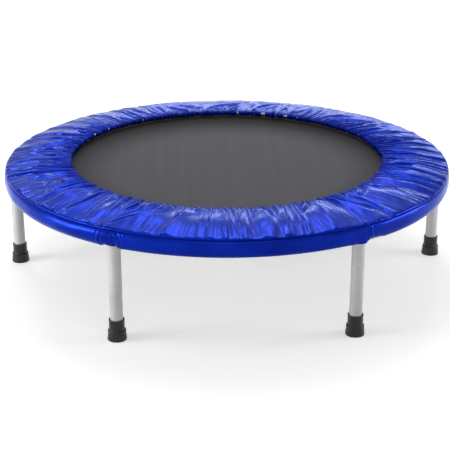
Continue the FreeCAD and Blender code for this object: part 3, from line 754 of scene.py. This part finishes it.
# Profile from the seam down, round the turn and in at the hem, then up inside the hem casing
def makeSkirt():
    outer = rimRadius - 0.0004
    turn = hemHeight + skirt["turnHeight"]
    middle = outer + skirt["puff"]
    start = seamHeight - skirt["seamDrop"]
    points = [(middle - skirt["shoulder"] - skirt["seamIn"], start)]
    for row in range(skirt["shoulderRows"] + 1):
        angle = math.pi / 2 * row / skirt["shoulderRows"]
        points.append((middle - skirt["shoulder"] * (1 - math.sin(angle)),
                       start - skirt["shoulderDrop"] * (1 - math.cos(angle))))
    top = start - skirt["shoulderDrop"]
    for row in range(1, skirt["wallRows"] + 1):
        points.append((middle, top - (top - turn) * row / skirt["wallRows"]))
    tuck = skirt["hemTuck"] + skirt["puff"]
    for row in range(1, skirt["turnRows"] + 1):
        angle = math.pi / 2 * row / skirt["turnRows"]
        points.append((middle - tuck * (1 - math.cos(angle)), turn - skirt["turnHeight"] * math.sin(angle)))
    points += [(middle - tuck + across, hemHeight + up) for across, up in skirt["hem"]]
    build = spun(points[::-1], skirt["columns"])
    piece = newPiece("side_wall", build, "cover", "frame", ("cover_skirt",))
    mesh = piece.data
    places = readPlaces(mesh)
    radius, angles = polar(places)
    down = np.clip((seamHeight - places[:, 2]) / (seamHeight - hemHeight), 0, 1)
    low = smoothStep((down - 0.45) / 0.5)
    push = np.zeros_like(angles)
    lift = np.zeros_like(angles)
    for leg in range(legCount):
        offset = angleFrom(angles, leg * fullTurn / legCount) * ringRadius
        room = np.sqrt(np.clip(skirt["legRoom"] ** 2 - offset ** 2, 0, None))
        bow = np.where(room > 0, np.clip(ringRadius + room + skirt["legClear"] - radius, 0, None), 0)
        push = np.maximum(push, bow * smoothStep((down - 0.08) / 0.25))
        push += skirt["legSwell"] * np.exp(-(offset / skirt["legSwellWidth"]) ** 2) * low
        lift += skirt["hemRises"][leg] * np.exp(-(offset / skirt["hemRiseWidth"]) ** 4) * low
    stepped = angleFrom(angles, skirt["stepLeg"] * fullTurn / legCount) * ringRadius
    stepShape = smoothStep((stepped - 0.012) / 0.006) * smoothStep((0.062 - stepped) / 0.030)
    lift += skirt["stepUp"] * stepShape * low
    push += skirt["stepSwell"] * np.exp(-((stepped + 0.010) / 0.020) ** 4) * low
    loose = angleFrom(angles, math.radians(skirt["looseAt"])) / math.radians(skirt["looseSpan"])
    push += skirt["loose"] * np.exp(-loose ** 2) * np.sin(math.pi * np.clip(down / 0.9, 0, 1))
    ripple = skirt["ripple"] * waves(angles + 0.02 * down, *skirt["rippleWave"]) * np.sin(math.pi * down)
    ripple += skirt["hemRipple"] * waves(angles + 0.03 * down, *skirt["hemRippleWave"]) * low
    for leg, shift, count, pitch, depth in skirt["pleats"]:
        offset = angleFrom(angles, leg * fullTurn / legCount) * ringRadius - shift
        reach = count * pitch / 2
        band = np.exp(-np.abs(offset / reach) ** 3)
        bent = offset * (1 - 0.16 * np.sin(down * 3)) + 0.0024 * np.sin(offset * 170 + 0.7)
        bent += 0.0016 * np.sin(down * 4 + offset * 90)
        uneven = 0.72 + 0.28 * np.sin(offset * 260 + 2.1) * np.cos(down * 2.6 + offset * 120)
        fade = smoothStep(down / 0.12) * (1 - 0.30 * low)
        ripple += depth * uneven * (np.abs(np.cos(bent * math.pi / pitch)) ** 1.3 - 0.3) * band * fade
    places[:, :2] += outwardFrom(angles) * (push + ripple)[:, None]
    places[:, 2] += lift
    writePlaces(mesh, places)


makeSkirt()
print("side wall hung")

# Mat, its two webbing bands, and the loops that hold the wire rings
mat = {
    "rings": 30, "columns": 216, "bandColumns": 360, "bandWidth": 0.022, "bandThickness": 0.001, "bandRound": 0.35,
    "loopLength": 0.020, "loopWidth": 0.019, "loopStrips": 8, "loopBend": 10,
    "stitch": (0.0030, 0.0006, 0.0005), "stitchPitch": 0.0052, "stitchStand": 0.0001,
}


# A flat disc of woven mesh with a top, an edge and an underside
def makeMat():
    across = [matRadius * ring / mat["rings"] for ring in range(1, mat["rings"] + 1)]
    top = [(0.0, matHigh.z)] + [(radius, matHigh.z) for radius in across]
    bottom = [(radius, matLow.z) for radius in across[::-1]] + [(0.0, matLow.z)]
    build = spun(bottom[::-1] + top[::-1], mat["columns"])
    piece = newPiece("woven_mat", build, "mesh", "mat", ("jump_mat",))


# A tape sewn on the mat's edge, with softly rounded borders
def makeBand(name, node, low, high):
    inner = matRadius - mat["bandWidth"]
    soft = (high - low) * mat["bandRound"]
    points = [(inner, low + soft), (inner + soft, low), (matRadius - soft, low), (matRadius, low + soft),
              (matRadius, high - soft), (matRadius - soft, high), (inner + soft, high), (inner, high - soft)]
    build = spun(points, mat["bandColumns"], closed=True)
    newPiece(name, build, "webbing", "mat", (node,))


def springAngle(number):
    return (number + 0.5) * fullTurn / springCount


# Straps folded round the wire rings' bars and sewn over the band
def makeLoops():
    low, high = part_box("ring_loops")
    half = (high.z - low.z) / 2
    bar = high.x - half
    build = bmesh.new()
    back = bar - mat["loopLength"]
    thick = mat["bandThickness"]
    start = [(back, springHeight - half), (bar, springHeight - half)]
    arc = [(bar + half * math.sin(math.pi * step / mat["loopBend"]),
            springHeight - half * math.cos(math.pi * step / mat["loopBend"])) for step in range(1, mat["loopBend"])]
    end = [(bar, springHeight + half), (back, springHeight + half)]
    middle = [((back + bar) / 2, springHeight + half - 0.0001)]
    edges = polyline(build, start + arc + end[:1] + middle + end[1:])[1]
    width = mat["loopWidth"]
    bmesh.ops.translate(build, verts=build.verts, vec=(0, -width / 2, 0))
    for step in range(mat["loopStrips"]):
        grown = bmesh.ops.extrude_edge_only(build, edges=edges)
        fresh = vertsOf(grown)
        edges = [item for item in grown["geom"] if isinstance(item, bmesh.types.BMEdge) and not item.is_manifold
                 and all(vert in set(fresh) for vert in item.verts)]
        bmesh.ops.translate(build, verts=fresh, vec=(0, width / mat["loopStrips"], 0))
    bmesh.ops.recalc_face_normals(build, faces=build.faces)
    bmesh.ops.solidify(build, geom=build.faces[:], thickness=thick)
    bmesh.ops.recalc_face_normals(build, faces=build.faces)
    return copiesAround(build, springCount)


# Repeats a bmesh round the object's axis, half a step off the X axis
def copiesAround(build, count):
    original = build.verts[:] + build.edges[:] + build.faces[:]
    for number in range(1, count):
        copy = bmesh.ops.duplicate(build, geom=original)
        turnAbout(build, vertsOf(copy), number * fullTurn / count)
    turnAbout(build, build.verts, springAngle(0))
    return build


# One small rounded thread for each spot: a place and the direction that it lies in
def addStitches(build, spots, size):
    for place, heading in spots:
        cube = bmesh.ops.create_cube(build, size=1)
        bmesh.ops.scale(build, verts=cube["verts"], vec=size)
        turnAbout(build, cube["verts"], heading)
        bmesh.ops.translate(build, verts=cube["verts"], vec=place)


# Two rows of stitches round the band, above and below
def makeMatStitches():
    build = bmesh.new()
    spots = []
    for radius in (matRadius - 0.004, matRadius - mat["bandWidth"] + 0.003):
        count = int(fullTurn * radius / mat["stitchPitch"])
        for number in range(count):
            angle = number * fullTurn / count
            for height in (bandTop + mat["stitchStand"], bandBottom - mat["stitchStand"]):
                spots.append(((radius * math.cos(angle), radius * math.sin(angle), height), angle + math.pi / 2))
    addStitches(build, spots, mat["stitch"])
    newPiece("mat_edge_stitches", build, "matThread", "mat")


bandTop = matHigh.z + mat["bandThickness"]
bandBottom = matLow.z - mat["bandThickness"]
makeMat()
makeBand("edge_tape_top", "mat_band_top", matHigh.z, bandTop)
makeBand("edge_tape_bottom", "mat_band_bottom", bandBottom, matLow.z)
newPiece("sewn_loops", makeLoops(), "webbing", "mat", ("ring_loops",))
makeMatStitches()
dress("mat_rings", "zinc")
print("mat, tapes and loops made")

# Springs: close-wound wire with an eye at the mat's ring and a tail hooked into the ring
spring = {
    "wire": 0.0024, "outer": 0.014, "hook": 0.460, "far": 0.447, "near": 0.395, "eyeReach": 0.003,
    "turnSteps": 14, "bevel": 1, "tailDrop": 0.0115, "tailBend": 0.0024, "eyeSteps": 18, "eyeClosed": 0.96,
}


# A round wire: a bevelled curve through the points, made a mesh
def wireAlong(points):
    line = bpy.data.curves.new("wire", "CURVE")
    line.dimensions = "3D"
    line.bevel_depth = spring["wire"] / 2
    line.bevel_resolution = spring["bevel"]
    line.use_fill_caps = True
    run = line.splines.new("POLY")
    run.points.add(len(points) - 1)
    run.points.foreach_set("co", [value for point in points for value in (*point, 1)])
    holder = bpy.data.objects.new("wire", line)
    mesh = bpy.data.meshes.new_from_object(holder)
    bpy.data.objects.remove(holder)
    bpy.data.curves.remove(line)
    return mesh


# Centre line of one spring along X, from the tail's tip to the end of the eye
def springPath():
    mean = (spring["outer"] - spring["wire"]) / 2
    hook = spring["hook"]
    far = spring["far"] - spring["wire"] / 2
    near = spring["near"] + spring["wire"] / 2
    turns = round((far - near) / spring["wire"])
    lift = spring["wire"] / 2
    tail = [(hook, 0, -spring["tailDrop"]), (hook, 0, -0.004), (hook, 0, -0.0012)]
    bend = spring["tailBend"]
    tail += [(hook - bend * (1 - math.cos(turn)), 0, lift - bend * (1 - math.sin(turn)))
             for turn in (math.pi / 8 * step for step in range(5))]
    tail += [(hook - 0.0045, 0, lift + 0.0004), (far + 0.0035, 0, mean * 0.72), (far + 0.0014, 0, mean * 0.96)]
    coil = []
    steps = turns * spring["turnSteps"]
    for step in range(steps + 1):
        turn = fullTurn * step / spring["turnSteps"]
        coil.append((far - (far - near) * step / steps, mean * math.sin(turn), mean * math.cos(turn)))
    eyeCentre = spring["near"] - spring["eyeReach"]
    rise = math.asin(min((near - eyeCentre) / mean, 1))
    eye = []
    for step in range(1, spring["eyeSteps"] + 1):
        angle = math.pi / 2 - rise + (math.pi + 2 * rise) * spring["eyeClosed"] * step / spring["eyeSteps"]
        eye.append((eyeCentre + mean * math.cos(angle), 0, mean * math.sin(angle)))
    return tail + coil + eye


# Each spring is a piece of its own, drawn out between the ring and the mat
def makeSprings():
    wire = wireAlong(springPath())
    for number in range(springCount):
        build = bmesh.new()
        build.from_mesh(wire)
        bmesh.ops.remove_doubles(build, verts=build.verts, dist=1e-6)
        bmesh.ops.recalc_face_normals(build, faces=build.faces)
        bmesh.ops.translate(build, verts=build.verts, vec=(0, 0, springHeight))
        angle = springAngle(number)
        turnAbout(build, build.verts, angle)
        piece = newPiece(f"spring_{number + 1}", build, "wire", None, ("springs",))
        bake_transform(piece)


makeSprings()
print("springs wound")

# Foam ring over the springs
foam = {"columns": 288, "soft": 0.0022, "pressed": 0.0006, "thickness": 0.0075, "inside": 0.0042}


# Section from the inner edge outwards along the underside, then back over the top
def makeFoam():
    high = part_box("pad_foam")[1]
    inner = elasticRadius + foam["inside"]
    soft = foam["soft"]
    under = high.z - foam["thickness"]
    crest = high.z - foam["pressed"]
    coilEnd = spring["far"] + 0.005
    tail = spring["hook"]
    edge = high.x
    points = [(inner, under + soft), (inner + soft * 0.3, under + soft * 0.3), (inner + soft, under),
              (coilEnd, under), (tail - 0.0024, springHeight + 0.003), (tail + 0.0024, springHeight + 0.003),
              (tail + 0.0048, ringHigh.z + 0.0003), (ringRadius + 0.0025, ringHigh.z + 0.0003),
              (edge - 0.005, ringHigh.z - 0.0025), (edge - 0.0008, ringHigh.z - 0.0025), (edge, ringHigh.z - 0.0016),
              (edge - 0.0006, ringHigh.z + 0.0005), (edge - 0.0036, ringHigh.z + 0.0030),
              (rimRadius - 0.0075, ringHigh.z + 0.0059), (ringRadius - tubeRadius / 2, ringHigh.z + 0.0080),
              (coilEnd - 0.0075, crest - 0.0038), (coilEnd - 0.015, crest - 0.0028),
              (ringRadius - 0.040, crest - 0.0013), (ringRadius - 0.056, crest - 0.0001),
              (inner + soft, crest), (inner + soft * 0.3, crest - soft * 0.3), (inner, crest - soft)]
    build = spun(points, foam["columns"], closed=True)
    piece = newPiece("foam_ring", build, "foam", "frame", ("pad_foam",))


makeFoam()

# Ring, bosses and elastics keep their CAD shapes
dress("frame_ring", "paint")
dress("leg_bosses", "zinc")
dress("inner_elastic", "elastic")
dress("skirt_elastic", "elastic")
print("foam, ring and elastics finished")

# Legs: the tubes, plugs and washers keep their CAD shapes; each stud gets its M10 thread
stud = {"radius": 0.005, "pitch": 0.0015, "depth": 0.0009, "sides": 24, "tip": 0.0012}
# Rubber foot: radii and heights of its base, bead and sleeve
foot = {
    "columns": 72, "base": 0.01925, "bead": 0.018, "sleeve": 0.01575, "beadHeight": 0.020, "height": 0.043,
    "lip": 0.0012, "gap": 0.0001, "washer": 0.0012,
}


def legPlace(leg):
    angle = leg * fullTurn / legCount
    return ringRadius * math.cos(angle), ringRadius * math.sin(angle)


# A plain core with one thread wound round it
def makeStud(leg):
    number = leg + 1
    low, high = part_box(f"leg_stud_{number}")
    build = bmesh.new()
    root = stud["radius"] - stud["depth"]
    steps = int((high.z - seatHeight - 0.001) / stud["pitch"] * stud["sides"])
    start = seatHeight + 0.0005
    section, edges = polyline(build, [
        (root, start), (stud["radius"], start + stud["pitch"] * 0.45),
        (stud["radius"], start + stud["pitch"] * 0.55), (root, start + stud["pitch"])])
    rise = (high.z - stud["tip"] - stud["pitch"] - start) / steps
    bmesh.ops.spin(build, geom=section + edges, cent=(0, 0, 0), axis=(0, 0, 1), dvec=(0, 0, rise),
                   angle=fullTurn * steps / stud["sides"], steps=steps, use_merge=False, use_duplicate=False)
    bmesh.ops.remove_doubles(build, verts=build.verts, dist=1e-6)
    core = [(0, low.z), (stud["radius"], low.z), (stud["radius"], seatHeight), (root + 0.0001, seatHeight + 0.0005),
            (root + 0.0001, high.z - stud["tip"]), (root - 0.0008, high.z), (0, high.z)]
    spots, lines = polyline(build, core)
    bmesh.ops.spin(build, geom=spots + lines, cent=(0, 0, 0), axis=(0, 0, 1), angle=fullTurn, steps=stud["sides"],
                   use_merge=True, use_duplicate=False)
    bmesh.ops.remove_doubles(build, verts=build.verts, dist=1e-7)
    bmesh.ops.recalc_face_normals(build, faces=build.faces)
    bmesh.ops.translate(build, verts=build.verts, vec=(*legPlace(leg), 0))
    newPiece(f"threaded_stud_{number}", build, "zinc", f"leg_{number}",
             (f"leg_stud_{number}",))


# Outline from the treaded floor up the base, bead and sleeve, then down the socket
def makeFoot(leg):
    base, bead, sleeve, lip = foot["base"], foot["bead"], foot["sleeve"], foot["lip"]
    middle, top = foot["beadHeight"], foot["height"]
    tube = tubeRadius + foot["gap"]
    tread = []
    for groove in (1, 2):
        centre = base * groove / 3
        tread += [(centre - 0.00125, 0), (centre - 0.0009, 0.001), (centre + 0.0009, 0.001), (centre + 0.00125, 0)]
    outline = [(0, 0)] + tread + [
        (base - lip, 0), (base - lip * 0.35, lip * 0.2), (base, lip), (base - lip * 0.15, lip * 2.2),
        (bead - lip * 0.25, middle - lip * 3.2), (bead - lip * 0.35, middle - lip * 1.9),
        (bead - lip * 0.05, middle - lip * 1.5), (bead, middle - lip * 0.9), (bead, middle - lip * 0.1),
        (bead - lip * 0.25, middle + lip * 0.3), (bead - lip * 0.9, middle + lip * 0.45),
        (sleeve - lip * 0.3, middle + lip * 0.9), (sleeve - lip * 0.35, middle + lip * 2),
        (sleeve - lip * 0.35, top - lip * 2.8), (sleeve - lip * 0.2, top - lip * 2.1), (sleeve, top - lip * 1.7),
        (sleeve, top - lip * 0.6), (sleeve - lip * 0.3, top), (tube + lip * 0.5, top), (tube, top - lip * 0.6),
        (tube, legBottom - foot["washer"]), (0, legBottom - foot["washer"])]
    build = spun(outline, foot["columns"], centre=legPlace(leg))
    number = leg + 1
    newPiece(f"rubber_foot_{number}", build, "rubber", f"foot_{number}",
             (f"foot_cap_{number}",))


for leg in range(legCount):
    makeStud(leg)
    makeFoot(leg)
    dress(f"leg_tube_{leg + 1}", "paint")
    dress(f"leg_plug_{leg + 1}", "zinc")
    dress(f"foot_washer_{leg + 1}", "zinc")
print("legs and feet finished")
